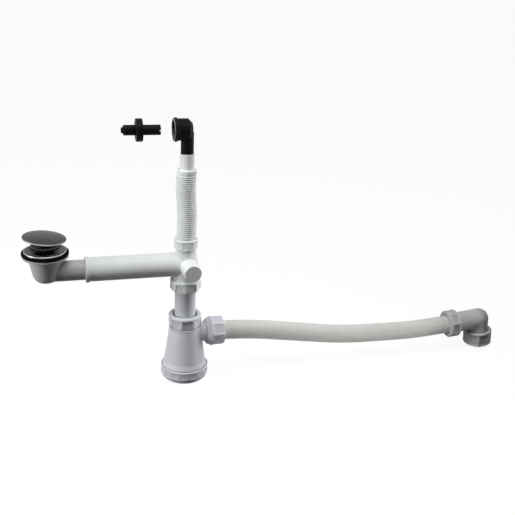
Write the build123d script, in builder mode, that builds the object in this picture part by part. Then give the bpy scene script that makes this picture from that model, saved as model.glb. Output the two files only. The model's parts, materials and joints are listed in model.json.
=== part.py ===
"""Sink waste and trap kit: plug and drain, telescopic pipe with tee, corrugated overflow,
bottle trap, flexible waste hose and outlet elbow.

Millimetres. The origin is the drain's centre on the sink's surface, +Z is up and +X runs along
the waste pipe from the drain to the tee. Every piece is drawn about the plane of its own axis.
"""

import os
from math import cos, radians, sin, tan

from build123d import *

# Plug
cap_radius = 32.7
cap_dome = 2.9
cap_edge = 2.6
cap_height = 22.3
cap_lean_angle = 5.5
cap_hub_radius = 7.5
cap_hub_length = 4.5
cap_wall = 1.4
cap_pin_gap = 0.7
cap_pin_end_gap = 1.0
cap_lean_room = 1.0
stem_radius = 3.1
stem_foot = 18.0
disc_radius = 20.6
disc_low = 8.0
disc_thickness = 4.2
disc_edge = 1.0
plug_seal_radius = 21.4
plug_seal_inset = 3.0
plug_seal_lip = 2.0
plug_seal_thickness = 2.0

# Drain flange and click bush
flange_radius = 31.8
flange_thickness = 2.2
flange_rim = 4.4
flange_round = 1.3
dish_radius = 22.0
dish_lip = 1.0
tail_radius = 17.6
tail_wall = 2.2
tail_length = 20.0
throat_drop = 5.0
hub_radius = 7.2
hub_height = 8.0
arm_thickness = 2.2
bush_radius = 5.4
bush_collar_radius = 6.8
bush_collar_height = 2.5
bush_length = 22.0
bush_floor = 2.0
spring_wire = 0.7
wire_side_count = 8
spring_turn_count = 5

# Sink seal and waste body
sink_seal_radius = 35.3
sink_seal_bore = 22.6
sink_seal_thickness = 5.0
sink_seal_edge = 1.0
body_flange_radius = 34.5
body_flange_thickness = 3.5
bowl_top_radius = 26.6
bowl_foot_radius = 17.6
bowl_round = 15.0
bowl_wall = 2.4
bowl_below_spigot = 0.3
spigot_radius = 16.0
spigot_wall = 2.2
spigot_end = 118.0
pipe_drop = 34.0

# Telescopic pipe and tee
pipe_play = 0.8
pipe_wall = 2.2
pipe_start = 58.0
bead_step = 1.3
bead_length = 6.5
groove_depth = 1.6
groove_start = 2.0
seal_width = 3.6
tee_reach = 216.0
tee_rise = 36.7
tee_fall = 38.0
barrel_step = 0.5
barrel_wall = 4.0
barrel_neck_wall = 3.2
barrel_taper = 24.0
boss_radius = 13.7
boss_reach = 45.5
boss_turn_angle = 5.0
boss_wall = 2.4

# Union joints
tube_gap = 0.35
running_gap = 0.06
thread_gap = 0.25
washer_height = 3.0
edge_break = 1.0
nut_bevel = 2.0
nut_flat_count = 8
tee_nut_angle = 8.0
trap_nut_angle = 22.5
flat_depth = 1.6
nut_ring = 3.2
hole_gap = 0.5

# Tail tube and its union on the tee
tail_tube_radius = 17.25
tail_tube_wall = 1.85
tail_tube_length = 146.65
tee_socket_depth = 14.0
tee_thread_wall = 3.0
tee_nut_wall = 3.85
tee_nut_skirt = 12.5
tee_nut_end = 2.5

# Overflow hose, elbow and nipple
overflow_bore_radius = 12.6
overflow_thread_wall = 3.8
overflow_thread_length = 8.2
overflow_washer_height = 2.0
overflow_nut_wall = 2.25
overflow_nut_skirt = 8.6
overflow_nut_end = 2.5
overflow_flat_count = 12
overflow_flat_depth = 0.7
hose_flange_thickness = 2.5
hose_neck_length = 5.0
hose_bore_radius = 11.4
bellows_wall = 2.6
rib_depth = 1.7
rib_pitch = 3.3
rib_count = 31
collar_step = 0.8
collar_height = 7.5
cuff_wall = 1.1
cuff_height = 25.0
cuff_ledge = 1.5
elbow_stem_radius = 9.9
elbow_stem_wall = 1.7
elbow_stem_depth = 23.0
head_rise = 36.5
head_reach = 20.5
head_ring_step = 1.6
head_ring_length = 4.6
head_radius = 16.6
head_length = 21.5
head_back_length = 7.0
head_back_radius = 10.5
head_wall = 2.0
head_groove_count = 16
head_groove_radius = 0.8
face_seal_width = 2.3
face_seal_depth = 1.6
face_seal_stand = 1.0
nipple_gap = 20.5
nipple_tube_radius = 7.7
nipple_tube_length = 27.0
nipple_wall = 1.9
nipple_collar_radius = 17.1
nipple_collar_length = 9.5
nipple_stub_length = 18.5
nipple_nose_radius = 4.6
nipple_nose_length = 3.0
nipple_nose_wall = 1.3
nipple_edge = 1.0
nipple_slot_count = 4
nipple_slot_width = 2.0
nipple_slot_length = 9.0

# Trap
tail_depth = 75.0
trap_thread_wall = 4.9
trap_thread_length = 13.5
trap_nut_wall = 4.35
trap_nut_skirt = 11.0
trap_nut_end = 4.5
trap_nut_hole_gap = 2.4
trap_washer_height = 4.0
trap_ring_step = 3.7
trap_ring_height = 2.5
trap_top_step = 0.2
trap_cone_flare = 9.2
trap_cone_height = 66.0
trap_lip_step = 1.4
trap_lip_height = 8.0
trap_wall = 2.4
trap_skirt_height = 14.0
cup_wall = 3.5
cup_rim_gap = 2.0
cup_sump_depth = 6.2
cup_foot_round = 12.0
cup_floor_inset = 9.0
cup_floor = 2.8
cup_ring = 3.0
cup_flat_count = 16
cup_flat_depth = 0.7
cup_thread_gap = 0.3
gasket_height = 2.4
gasket_gap = 0.1

# Outlet, waste hose and far elbow
outlet_below_mouth = 28.0
outlet_mouth_reach = 56.0
outlet_thread_length = 22.0
outlet_neck_step = 2.9
union_thread_wall = 2.95
union_nut_wall = 4.95
union_nut_end = 5.0
outlet_nut_skirt = 21.5
outlet_nut_cone = 8.0
waste_hose_radius = 16.0
waste_hose_wall = 2.1
hose_socket_depth = 15.0
elbow_end_gap = 0.5
elbow_reach = 497.0
elbow_drop = 20.0
elbow_rise_angle = 6.0
elbow_step = 1.1
elbow_arm = 61.3
elbow_arm_thread = 15.3
elbow_leg = 41.5
elbow_leg_thread = 17.5
hose_nut_skirt = 14.0
hose_nut_end = 2.5
drain_pipe_radius = 16.0
drain_gap = 0.15
drain_socket_depth = 19.5
socket_nut_skirt = 19.5
socket_nut_end = 4.0
socket_nut_wall = 5.8

# Route of the waste hose between its two sockets, as distances and drops from the trap's outlet
hose_route_middle = [(40.0, 0.0), (148.0, 17.0), (228.0, 29.2), (308.0, 31.5)]
hose_last_run = 69.0
hose_bend_ratio = 0.45

os.makedirs("parts", exist_ok=True)

# Radii of pieces that fit one another
tail_bore_radius = tail_radius - tail_wall
spigot_bore_radius = spigot_radius - spigot_wall
groove_radius = spigot_radius + running_gap + groove_depth + tube_gap
pipe_bore_radius = spigot_radius + pipe_play
pipe_radius = pipe_bore_radius + pipe_wall
bead_radius = pipe_radius + bead_step
barrel_radius = pipe_radius + barrel_step
barrel_neck_radius = overflow_bore_radius + barrel_neck_wall
tee_bore_radius = tail_tube_radius + tube_gap
tee_thread_radius = tee_bore_radius + tee_thread_wall
overflow_thread_radius = overflow_bore_radius + overflow_thread_wall
overflow_nut_bore = overflow_thread_radius + thread_gap
overflow_nut_radius = overflow_nut_bore + overflow_nut_wall
rib_root_radius = hose_bore_radius + bellows_wall
rib_radius = rib_root_radius + rib_depth
collar_radius = rib_radius - collar_step
stem_bore_radius = elbow_stem_radius + running_gap
cuff_radius = stem_bore_radius + cuff_wall
head_ring_radius = head_radius + head_ring_step
head_bore_radius = head_radius - head_wall
trap_thread_radius = tee_bore_radius + trap_thread_wall
trap_ring_radius = trap_thread_radius + trap_ring_step
trap_top_radius = trap_ring_radius - trap_top_step
trap_foot_radius = trap_top_radius + trap_cone_flare
cup_bore_radius = trap_foot_radius + cup_thread_gap
cup_radius = cup_bore_radius + cup_wall
hose_socket_radius = waste_hose_radius + tube_gap
union_thread_radius = hose_socket_radius + union_thread_wall
outlet_neck_radius = union_thread_radius - outlet_neck_step
elbow_radius = union_thread_radius - elbow_step
elbow_bore_radius = waste_hose_radius - waste_hose_wall
drain_bore_radius = drain_pipe_radius + drain_gap

# Heights, chained from the pipe's axis down to the cup and up to the overflow's head
hub_top = -tail_length + hub_height
body_top = -sink_seal_thickness
tee_mouth = -pipe_drop - tee_fall
tail_top = tee_mouth + tee_socket_depth - tube_gap
tail_foot = tail_top - tail_tube_length
trap_mouth = tail_foot + tail_depth
ring_top = trap_mouth - trap_thread_length
ring_foot = ring_top - trap_ring_height
cone_foot = ring_foot - trap_cone_height
skirt_foot = cone_foot - trap_skirt_height
cup_rim = cone_foot - cup_rim_gap
cup_ledge = skirt_foot - gasket_gap - gasket_height
cup_floor_top = cup_ledge - cup_sump_depth
cup_foot = cup_floor_top - cup_floor
overflow_mouth = -pipe_drop + tee_rise
hose_foot = overflow_mouth + overflow_washer_height
flange_top = hose_foot + hose_flange_thickness
rib_start = flange_top + hose_neck_length
bellows_top = rib_start + rib_count * rib_pitch
collar_top = bellows_top + collar_height
cuff_top = collar_top + cuff_height
elbow_stem_foot = cuff_top - elbow_stem_depth
head_height = cuff_top + head_rise
head_back = head_length + head_back_length

# Axis planes: the normal of each runs along the axis of the pieces turned about it
drain_plane = Plane.XY
pipe_plane = Plane((0, 0, -pipe_drop), x_dir=(0, 1, 0), z_dir=(1, 0, 0))
tee_plane = Plane((tee_reach, 0, 0), x_dir=(1, 0, 0), z_dir=(0, 0, 1))
boss_plane = Plane(
    (tee_reach, 0, -pipe_drop),
    x_dir=(0, 0, 1),
    z_dir=(sin(radians(boss_turn_angle)), -cos(radians(boss_turn_angle)), 0),
)
tee_mouth_plane = Plane((tee_reach, 0, tee_mouth), x_dir=(1, 0, 0), z_dir=(0, 0, -1))
overflow_plane = tee_plane.offset(overflow_mouth)
head_plane = Plane((tee_reach - head_reach, 0, head_height), x_dir=(0, 1, 0), z_dir=(1, 0, 0))
trap_mouth_plane = tee_plane.offset(trap_mouth)
outlet_mouth = Vector(tee_reach + outlet_mouth_reach, 0, trap_mouth - outlet_below_mouth)
outlet_plane = Plane(outlet_mouth, x_dir=(0, 1, 0), z_dir=(1, 0, 0))
cap_plane = Plane(
    (0, 0, cap_height),
    x_dir=(cos(radians(cap_lean_angle)), 0, -sin(radians(cap_lean_angle))),
    z_dir=(sin(radians(cap_lean_angle)), 0, cos(radians(cap_lean_angle))),
)
elbow_corner = outlet_mouth + Vector(elbow_reach, 0, -elbow_drop)
arm_direction = Vector(cos(radians(elbow_rise_angle)), 0, sin(radians(elbow_rise_angle)))
leg_direction = Vector(sin(radians(elbow_rise_angle)), 0, -cos(radians(elbow_rise_angle)))
arm_plane = Plane(elbow_corner - arm_direction * elbow_arm, x_dir=(0, 1, 0), z_dir=-arm_direction)
leg_plane = Plane(elbow_corner + leg_direction * elbow_leg, x_dir=(0, 1, 0), z_dir=leg_direction)


def turn(plane, *corners, mode=Mode.ADD):
    """Revolve an outline of (radius, height) corners about the normal of a plane."""
    with BuildSketch(Plane(plane.origin, x_dir=plane.x_dir, z_dir=-plane.y_dir)) as section:
        with BuildLine():
            Polyline(*corners, close=True)
        make_face()
    revolve(section.sketch.faces(), axis=Axis(plane.origin, plane.z_dir), mode=mode)


def bore(plane, radius, start, end):
    """Cut a plain round hole along the normal of a plane, from one height to another."""
    turn(plane, (0, start), (radius, start), (radius, end), (0, end), mode=Mode.SUBTRACT)


def cut_flats(plane, radius, depth, count, start, end, first_angle=0.0):
    """Cut flats round a turned piece between two heights, leaving ridges where they meet."""
    with BuildSketch(plane.offset(start)) as waste:
        Circle(radius + depth)
        RegularPolygon(
            radius - depth, count, major_radius=False, rotation=first_angle, mode=Mode.SUBTRACT
        )
    extrude(waste.sketch.faces(), amount=end - start, mode=Mode.SUBTRACT)


def ring(label, plane, inner, outer, start, end):
    """A plain ring about the normal of a plane, such as a washer."""
    with BuildPart() as piece:
        turn(plane, (inner, start), (outer, start), (outer, end), (inner, end))
    piece.part.label = label
    return piece


def union_nut(
    label, plane, thread, wall, hole, skirt, seat, end_wall, ring_in_front,
    cone=0.0, first_angle=0.0,
):
    """Union nut over a threaded mouth at a plane; the tube leaves through it along the normal.

    wall is its thickness over the thread, skirt its length behind the mouth, seat the height of
    its inner shoulder in front of the mouth, end_wall the thickness past that shoulder. The full
    round ring is at the front or at the back, and flats run over the rest. cone is the length of
    a tapered back end, first_angle where the flats' ridges start.
    """
    front = seat + end_wall
    inner = thread + thread_gap
    radius = inner + wall
    back_radius = max(inner + edge_break, radius - cone)
    with BuildPart() as nut:
        turn(
            plane,
            (inner, -skirt),
            (min(back_radius, radius - edge_break), -skirt),
            (radius, -skirt + max(cone, edge_break)),
            (radius, front - nut_bevel),
            (radius - nut_bevel, front),
            (hole + edge_break, front),
            (hole, front - edge_break),
            (hole, seat),
            (inner, seat),
        )
        if ring_in_front:
            start = -skirt
            end = front - nut_bevel - nut_ring
        else:
            start = -skirt + max(cone, edge_break) + nut_ring
            end = front
        cut_flats(plane, radius, flat_depth, nut_flat_count, start, end, first_angle)
    nut.part.label = label
    return nut


# Plug cap: a shallow dome with a rounded edge and a hub that sits loosely on the stem
cap_section_plane = Plane(cap_plane.origin, x_dir=cap_plane.x_dir, z_dir=-cap_plane.y_dir)
with BuildPart() as plug_cap:
    with BuildSketch(cap_section_plane):
        with BuildLine():
            dome = TangentArc((0, cap_dome), (cap_radius - cap_edge / 2, 0), tangent=(1, 0))
            rim = ThreePointArc(
                dome @ 1,
                (cap_radius, -cap_edge / 2),
                (cap_radius - cap_edge / 2, -cap_edge),
            )
            under = Polyline(
                rim @ 1,
                (cap_radius - cap_edge, -cap_edge),
                (cap_radius - cap_edge, -cap_wall),
                (cap_hub_radius, cap_dome - 2 * cap_wall),
                (cap_hub_radius, -cap_hub_length),
                (stem_radius + cap_pin_gap, -cap_hub_length),
                (stem_radius + cap_pin_gap, -cap_wall),
                (0, -cap_wall),
            )
            Line(under @ 1, dome @ 0)
        make_face()
    revolve(axis=Axis(cap_plane.origin, cap_plane.z_dir))
plug_cap.part.label = "plug_cap"

# Click stem: the rod that slides in the bush, the sealing disc and the pin that takes the cap
disc_top = disc_low + disc_thickness
seal_low = disc_low - plug_seal_thickness
seal_inner = disc_radius - plug_seal_inset
hub_foot = cap_height - cap_hub_length
neck_top = hub_foot - (cap_hub_radius + cap_lean_room) * tan(radians(cap_lean_angle))
pin_shoulder = hub_foot - (stem_radius + cap_lean_room) * tan(radians(cap_lean_angle))
pin_top = cap_height - cap_wall - cap_pin_end_gap
with BuildPart() as plug_stem:
    turn(
        drain_plane,
        (0, -stem_foot),
        (stem_radius, -stem_foot),
        (stem_radius, seal_low),
        (seal_inner, seal_low),
        (seal_inner, disc_low),
        (disc_radius, disc_low),
        (disc_radius, disc_top - disc_edge),
        (disc_radius - disc_edge, disc_top),
        (cap_hub_radius, disc_top),
        (cap_hub_radius, neck_top),
        (stem_radius, pin_shoulder),
        (stem_radius, pin_top),
        (0, pin_top),
    )
plug_stem.part.label = "plug_stem"

# Plug seal: a lip ring hung under the disc
with BuildPart() as plug_seal:
    turn(
        drain_plane,
        (seal_inner, seal_low),
        (plug_seal_radius - plug_seal_lip, seal_low),
        (plug_seal_radius, disc_low - plug_seal_thickness / 2),
        (plug_seal_radius, disc_low),
        (seal_inner, disc_low),
    )
plug_seal.part.label = "plug_seal"

# Drain flange: rounded rim, dished throat, threaded tail and the cross that holds the bush
with BuildPart() as drain_flange:
    turn(
        drain_plane,
        (flange_radius, 0),
        (flange_radius, flange_thickness),
        (flange_radius - flange_rim, flange_thickness),
        (dish_radius, dish_lip),
        (tail_bore_radius, -throat_drop),
        (tail_bore_radius, -tail_length),
        (tail_radius, -tail_length),
        (tail_radius, -throat_drop),
        (dish_radius, 0),
    )
    rim_edge = drain_flange.edges().filter_by(GeomType.CIRCLE).sort_by(SortBy.RADIUS)[-2:]
    fillet(rim_edge.sort_by(Axis.Z)[-1:], flange_round)
    with BuildSketch(drain_plane.offset(-tail_length)):
        Circle(hub_radius)
        Rectangle(2 * tail_radius - tail_wall, arm_thickness)
        Rectangle(arm_thickness, 2 * tail_radius - tail_wall)
    extrude(amount=hub_height)
    bore(drain_plane, bush_radius + running_gap, -tail_length, hub_top)
drain_flange.part.label = "drain_flange"

# Click bush: hangs in the cross by its collar and guides the stem over the spring
bush_foot = hub_top - bush_length
spring_foot = bush_foot + bush_floor
with BuildPart() as click_cartridge:
    turn(
        drain_plane,
        (0, bush_foot),
        (bush_radius, bush_foot),
        (bush_radius, hub_top),
        (bush_collar_radius, hub_top),
        (bush_collar_radius, hub_top + bush_collar_height),
        (stem_radius + running_gap, hub_top + bush_collar_height),
        (stem_radius + running_gap, spring_foot),
        (0, spring_foot),
    )
click_cartridge.part.label = "click_cartridge"

# Click spring: one coil from the bush's floor to the foot of the stem
spring_height = -stem_foot - spring_foot
spring_radius = stem_radius - spring_wire
coil_pitch = (spring_height - spring_wire) / spring_turn_count
with BuildPart() as click_spring:
    with BuildLine():
        coil = Helix(
            pitch=coil_pitch,
            height=spring_height - spring_wire,
            radius=spring_radius,
            center=(0, 0, spring_foot + spring_wire / 2),
        )
    with BuildSketch(Plane(coil @ 0, z_dir=coil % 0)):
        RegularPolygon(spring_wire / 2, wire_side_count)
    sweep(is_frenet=True)
click_spring.part.label = "click_spring"

# Sink seal: the thick ring between sink and waste body
with BuildPart() as sink_seal:
    turn(
        drain_plane,
        (sink_seal_bore, body_top),
        (sink_seal_radius - sink_seal_edge, body_top),
        (sink_seal_radius, body_top + sink_seal_edge),
        (sink_seal_radius, -sink_seal_edge),
        (sink_seal_radius - sink_seal_edge, 0),
        (sink_seal_bore, 0),
    )
sink_seal.part.label = "sink_seal"

# Waste body: a flanged bowl that runs into the side spigot
flange_foot = body_top - body_flange_thickness
bowl_foot = -pipe_drop - spigot_radius - bowl_below_spigot
thread_foot = -tail_length
with BuildPart() as waste_body:
    with BuildSketch(Plane.XZ):
        with BuildLine():
            Polyline(
                (0, body_top),
                (body_flange_radius, body_top),
                (body_flange_radius, flange_foot),
                (bowl_top_radius, flange_foot),
                (bowl_foot_radius, bowl_foot),
                (0, bowl_foot),
                close=True,
            )
        bowl_face = make_face()
        bowl_corner = bowl_face.vertices().group_by(Axis.Y)[0].sort_by(Axis.X)[-1]
        fillet(bowl_corner, bowl_round)
    revolve(axis=Axis.Z)
    turn(pipe_plane, (0, 0), (spigot_radius, 0), (spigot_radius, spigot_end), (0, spigot_end))
    with BuildSketch(Plane.XZ) as hollow:
        with BuildLine():
            Polyline(
                (0, thread_foot),
                (tail_radius + thread_gap + bowl_wall, thread_foot),
                (bowl_foot_radius - bowl_wall, bowl_foot + bowl_wall),
                (0, bowl_foot + bowl_wall),
                close=True,
            )
        hollow_face = make_face()
        hollow_corner = hollow_face.vertices().group_by(Axis.Y)[0].sort_by(Axis.X)[-1]
        fillet(hollow_corner, bowl_round - bowl_wall)
    revolve(axis=Axis.Z, mode=Mode.SUBTRACT)
    bore(drain_plane, tail_radius + thread_gap, thread_foot, body_top)
    bore(pipe_plane, spigot_bore_radius, 0, spigot_end)
waste_body.part.label = "waste_body"

# Telescope seal: the lip ring held in the pipe's mouth, sliding on the spigot
seal_start = pipe_start + groove_start
telescope_seal = ring(
    "telescope_seal",
    pipe_plane,
    spigot_radius + running_gap,
    groove_radius - running_gap,
    seal_start,
    seal_start + seal_width,
)

# Pipe and tee, one moulding: beaded mouth, pipe, upright barrel, threaded ends and blank boss
thread_back = tee_mouth + tee_nut_skirt
with BuildPart() as tee_pipe:
    turn(
        pipe_plane,
        (0, pipe_start),
        (bead_radius - edge_break, pipe_start),
        (bead_radius, pipe_start + edge_break),
        (bead_radius, pipe_start + bead_length - edge_break),
        (pipe_radius, pipe_start + bead_length),
        (pipe_radius, tee_reach),
        (0, tee_reach),
    )
    turn(
        tee_plane,
        (0, tee_mouth),
        (tee_thread_radius, tee_mouth),
        (tee_thread_radius, thread_back),
        (barrel_radius, thread_back + edge_break),
        (barrel_radius, -pipe_drop),
        (barrel_neck_radius, -pipe_drop + barrel_taper),
        (barrel_neck_radius, overflow_mouth - overflow_thread_length),
        (overflow_thread_radius, overflow_mouth - overflow_thread_length),
        (overflow_thread_radius, overflow_mouth),
        (0, overflow_mouth),
    )
    turn(boss_plane, (0, 0), (boss_radius, 0), (boss_radius, boss_reach), (0, boss_reach))
    boss_rim = tee_pipe.edges().filter_by(GeomType.CIRCLE).sort_by(Axis.Y)[0]
    fillet(boss_rim, edge_break)
    bore(pipe_plane, pipe_bore_radius, pipe_start, tee_reach)
    bore(pipe_plane, groove_radius, seal_start, seal_start + seal_width)
    bore(tee_plane, tee_bore_radius, tee_mouth, tee_mouth + tee_socket_depth)
    bore(
        tee_plane,
        barrel_radius - barrel_wall,
        tee_mouth + tee_socket_depth,
        -pipe_drop + pipe_bore_radius,
    )
    bore(tee_plane, overflow_bore_radius, -pipe_drop, overflow_mouth)
    bore(boss_plane, boss_radius - boss_wall, 0, boss_reach - boss_wall)
tee_pipe.part.label = "tee_pipe"

# Union of tee and tail tube
tee_nut = union_nut(
    "tee_nut",
    tee_mouth_plane,
    tee_thread_radius,
    tee_nut_wall,
    tail_tube_radius + hole_gap,
    tee_nut_skirt,
    washer_height,
    tee_nut_end,
    ring_in_front=False,
    first_angle=tee_nut_angle,
)
tee_washer = ring(
    "tee_washer",
    tee_mouth_plane,
    tail_tube_radius + running_gap,
    tee_thread_radius - tube_gap,
    0,
    washer_height,
)

# Tail tube: from the tee's socket down into the trap
tail_tube = ring(
    "tail_tube",
    tee_plane,
    tail_tube_radius - tail_tube_wall,
    tail_tube_radius,
    tail_foot,
    tail_top,
)

# Overflow union: nut with many small flats, washer and the flanged foot of the hose
overflow_seat = overflow_washer_height + hose_flange_thickness
overflow_front = overflow_seat + overflow_nut_end
with BuildPart() as overflow_nut:
    turn(
        overflow_plane,
        (overflow_nut_bore, -overflow_nut_skirt),
        (overflow_nut_radius - edge_break, -overflow_nut_skirt),
        (overflow_nut_radius, -overflow_nut_skirt + edge_break),
        (overflow_nut_radius, overflow_front - edge_break),
        (overflow_nut_radius - edge_break, overflow_front),
        (rib_root_radius + hole_gap, overflow_front),
        (rib_root_radius + hole_gap, overflow_seat),
        (overflow_nut_bore, overflow_seat),
    )
    cut_flats(
        overflow_plane,
        overflow_nut_radius,
        overflow_flat_depth,
        overflow_flat_count,
        -overflow_nut_skirt + 2 * edge_break,
        overflow_front - 2 * edge_break,
    )
overflow_nut.part.label = "overflow_nut"

overflow_washer = ring(
    "overflow_washer",
    overflow_plane,
    overflow_bore_radius,
    overflow_thread_radius - tube_gap,
    0,
    overflow_washer_height,
)

# Overflow hose: flanged foot, a bellows of sharp ribs, a smooth collar and the upper cuff
rib_corners = []
for rib in range(rib_count):
    rib_foot = rib_start + rib * rib_pitch
    rib_corners.append((rib_root_radius, rib_foot))
    rib_corners.append((rib_radius, rib_foot + rib_pitch / 2))
cuff_foot = elbow_stem_foot - cuff_ledge
with BuildPart() as overflow_hose:
    turn(
        tee_plane,
        (hose_bore_radius, hose_foot),
        (overflow_thread_radius, hose_foot),
        (overflow_thread_radius, flange_top),
        (rib_root_radius, flange_top),
        *rib_corners,
        (rib_root_radius, bellows_top),
        (collar_radius, bellows_top + edge_break),
        (collar_radius, collar_top - edge_break),
        (collar_radius - edge_break, collar_top),
        (cuff_radius, collar_top),
        (cuff_radius, cuff_top),
        (stem_bore_radius, cuff_top),
        (stem_bore_radius, cuff_foot),
        (elbow_stem_radius - elbow_stem_wall, cuff_foot),
        (elbow_stem_radius - elbow_stem_wall, cuff_foot - cuff_ledge),
        (hose_bore_radius, cuff_foot - cuff_ledge - cuff_ledge),
    )
overflow_hose.part.label = "overflow_hose"

# Overflow elbow: ringed mouth, grooved head with a sloped back, and the stem in the cuff
with BuildPart() as overflow_elbow:
    turn(
        head_plane,
        (0, 0),
        (head_ring_radius - edge_break, 0),
        (head_ring_radius, edge_break),
        (head_ring_radius, head_ring_length - edge_break),
        (head_radius, head_ring_length + edge_break),
        (head_radius, head_length),
        (head_back_radius, head_back - head_wall / 2),
        (head_back_radius / 2, head_back),
        (0, head_back),
    )
    with BuildSketch(head_plane.offset(head_ring_length + 2 * edge_break)):
        with PolarLocations(head_radius + head_groove_radius / 2, head_groove_count):
            Circle(head_groove_radius)
    extrude(amount=head_length - head_ring_length - 4 * edge_break, mode=Mode.SUBTRACT)
    turn(
        tee_plane,
        (0, elbow_stem_foot),
        (elbow_stem_radius, elbow_stem_foot),
        (elbow_stem_radius, head_height - head_back_radius / 2),
        (elbow_stem_radius / 2, head_height + head_back_radius),
        (0, head_height + head_back_radius),
    )
    turn(
        head_plane,
        (0, 0),
        (head_bore_radius, 0),
        (head_bore_radius, head_length - head_wall),
        (nipple_tube_radius + hole_gap, head_back - 2 * head_wall),
        (0, head_back - 2 * head_wall),
        mode=Mode.SUBTRACT,
    )
    bore(tee_plane, elbow_stem_radius - elbow_stem_wall, elbow_stem_foot, head_height)
    bore(head_plane, head_bore_radius + face_seal_width, 0, face_seal_depth)
overflow_elbow.part.label = "overflow_elbow"

# Overflow face seal: seated in the mouth and standing a little proud of it
overflow_seal = ring(
    "overflow_seal",
    head_plane,
    head_bore_radius,
    head_bore_radius + face_seal_width - running_gap,
    -face_seal_stand,
    face_seal_depth,
)

# Overflow nipple: loose, on the mouth's axis; slotted tube, collar, stub and nose
tube_end = -nipple_gap
collar_front = tube_end - nipple_tube_length
collar_back = collar_front - nipple_collar_length
stub_end = collar_back - nipple_stub_length
nose_end = stub_end - nipple_nose_length
nose_bore_radius = nipple_nose_radius - nipple_nose_wall
with BuildPart() as overflow_nipple:
    turn(
        head_plane,
        (0, tube_end),
        (nipple_tube_radius, tube_end),
        (nipple_tube_radius, collar_front),
        (nipple_collar_radius - nipple_edge / 2, collar_front),
        (nipple_collar_radius, collar_front - nipple_edge / 2),
        (nipple_collar_radius, collar_back + nipple_edge / 2),
        (nipple_collar_radius - nipple_edge / 2, collar_back),
        (nipple_tube_radius, collar_back),
        (nipple_tube_radius, stub_end + nipple_edge),
        (nipple_tube_radius - nipple_edge, stub_end),
        (nipple_nose_radius, stub_end),
        (nipple_nose_radius, nose_end + nipple_edge),
        (nipple_nose_radius - nipple_edge, nose_end),
        (0, nose_end),
    )
    bore(head_plane, nose_bore_radius, nose_end, collar_back)
    bore(head_plane, nipple_tube_radius - nipple_wall, collar_back, tube_end)
    with BuildSketch(head_plane.offset(tube_end)):
        with PolarLocations(nipple_tube_radius, nipple_slot_count):
            Rectangle(2 * nipple_wall + nipple_slot_width, nipple_slot_width)
    extrude(amount=-nipple_slot_length, mode=Mode.SUBTRACT)
overflow_nipple.part.label = "overflow_nipple"

# Union of tail tube and trap: a wide-mouthed nut with its ring at the top
trap_inlet_nut = union_nut(
    "trap_inlet_nut",
    trap_mouth_plane,
    trap_thread_radius,
    trap_nut_wall,
    tail_tube_radius + trap_nut_hole_gap,
    trap_nut_skirt,
    trap_washer_height,
    trap_nut_end,
    ring_in_front=True,
    first_angle=trap_nut_angle,
)
trap_inlet_washer = ring(
    "trap_inlet_washer",
    trap_mouth_plane,
    tail_tube_radius + running_gap,
    trap_thread_radius - tube_gap,
    0,
    trap_washer_height,
)

# Trap body: threaded mouth, shoulder ring, cone, threaded skirt and the side outlet
with BuildPart() as trap_body:
    turn(
        tee_plane,
        (0, trap_mouth),
        (trap_thread_radius, trap_mouth),
        (trap_thread_radius, ring_top),
        (trap_ring_radius, ring_top),
        (trap_ring_radius, ring_foot),
        (trap_top_radius, ring_foot),
        (trap_foot_radius - trap_lip_step, cone_foot + trap_lip_height),
        (trap_foot_radius + trap_lip_step, cone_foot),
        (trap_foot_radius, cone_foot),
        (trap_foot_radius, skirt_foot),
        (0, skirt_foot),
    )
    turn(
        outlet_plane,
        (0, -outlet_mouth_reach),
        (outlet_neck_radius, -outlet_mouth_reach),
        (outlet_neck_radius, -outlet_thread_length),
        (union_thread_radius, -outlet_thread_length),
        (union_thread_radius, 0),
        (0, 0),
    )
    turn(
        tee_plane,
        (0, ring_foot - trap_wall),
        (trap_top_radius - trap_wall, ring_foot - trap_wall),
        (trap_foot_radius - trap_lip_step - trap_wall, cone_foot + trap_lip_height),
        (trap_foot_radius - trap_wall, cone_foot),
        (trap_foot_radius - trap_wall, skirt_foot),
        (0, skirt_foot),
        mode=Mode.SUBTRACT,
    )
    bore(tee_plane, tee_bore_radius, ring_foot - trap_wall, trap_mouth)
    bore(outlet_plane, elbow_bore_radius, -outlet_mouth_reach, 0)
    bore(outlet_plane, hose_socket_radius, -hose_socket_depth, 0)
trap_body.part.label = "trap_body"

# Trap cup: screwed over the skirt, with a round foot and a grip of many flats
with BuildPart() as trap_cup:
    with BuildSketch(Plane(tee_plane.origin, x_dir=tee_plane.x_dir, z_dir=-tee_plane.y_dir)):
        with BuildLine():
            Polyline(
                (0, cup_foot),
                (cup_radius, cup_foot),
                (cup_radius, cup_rim),
                (cup_bore_radius, cup_rim),
                (cup_bore_radius, cup_ledge),
                (trap_foot_radius - trap_wall, cup_ledge),
                (trap_foot_radius - cup_floor_inset, cup_floor_top),
                (0, cup_floor_top),
                close=True,
            )
        cup_face = make_face()
        foot_corner = cup_face.vertices().group_by(Axis.Y)[0].sort_by(Axis.X)[-1]
        fillet(foot_corner, cup_foot_round)
    revolve(axis=Axis(tee_plane.origin, tee_plane.z_dir))
    cut_flats(
        tee_plane,
        cup_radius,
        cup_flat_depth,
        cup_flat_count,
        cup_foot + cup_foot_round,
        cup_rim - cup_ring,
    )
trap_cup.part.label = "trap_cup"

cup_gasket = ring(
    "cup_gasket",
    tee_plane,
    trap_foot_radius - trap_wall,
    trap_foot_radius,
    cup_ledge,
    cup_ledge + gasket_height,
)

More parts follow.
